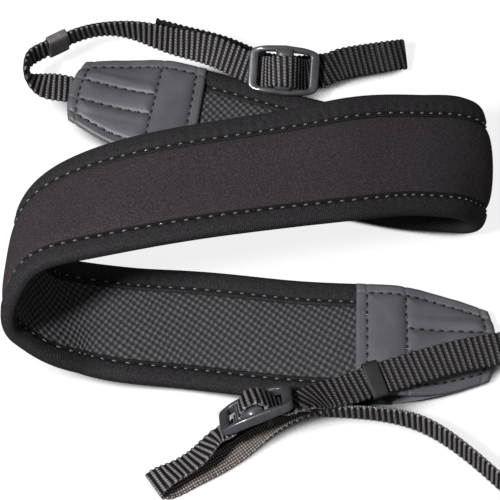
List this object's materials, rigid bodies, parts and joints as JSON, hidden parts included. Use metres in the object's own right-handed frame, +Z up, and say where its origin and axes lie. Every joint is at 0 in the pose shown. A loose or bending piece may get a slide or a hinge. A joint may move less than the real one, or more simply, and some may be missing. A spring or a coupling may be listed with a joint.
{
  "type": "camera neck strap",
  "caption": "Padded camera neck strap with leather ends, ribbed webbing, keepers and slide buckles, folded in an S on a table.",
  "frame": {"origin": "middle of the folded strap's box, on the table that it lies on", "axes": "+X along the front band towards the front tab's narrow end, +Y away from the near edge, +Z up from the table"},
  "size_m": [0.1599, 0.1667, 0.053],
  "materials": {
    "neoprene": "charcoal neoprene with a fine knitted face, matt",
    "mesh": "dark grey open mesh, matt",
    "binding": "dark knitted tape, matt, stitched along both edges",
    "leather": "grey grained leather, soft sheen, stitched in panels",
    "webbing": "dark webbing with slanting ribs, slight sheen",
    "keeper": "near-black moulded plastic, matt",
    "buckle": "dark grey moulded plastic, satin"
  },
  "bodies": {
    "root": {"neoprene_pad": "neoprene", "mesh_lining": "mesh", "binding_near": "binding", "binding_far": "binding", "tab_front_face": "leather", "tab_front_outer": "leather", "tab_back_face": "leather", "tab_back_outer": "leather", "webbing_front": "webbing", "webbing_back": "webbing", "keeper_front": "keeper", "keeper_back": "keeper", "buckle_front": "buckle", "buckle_back": "buckle"}
  },
  "joints": []
}
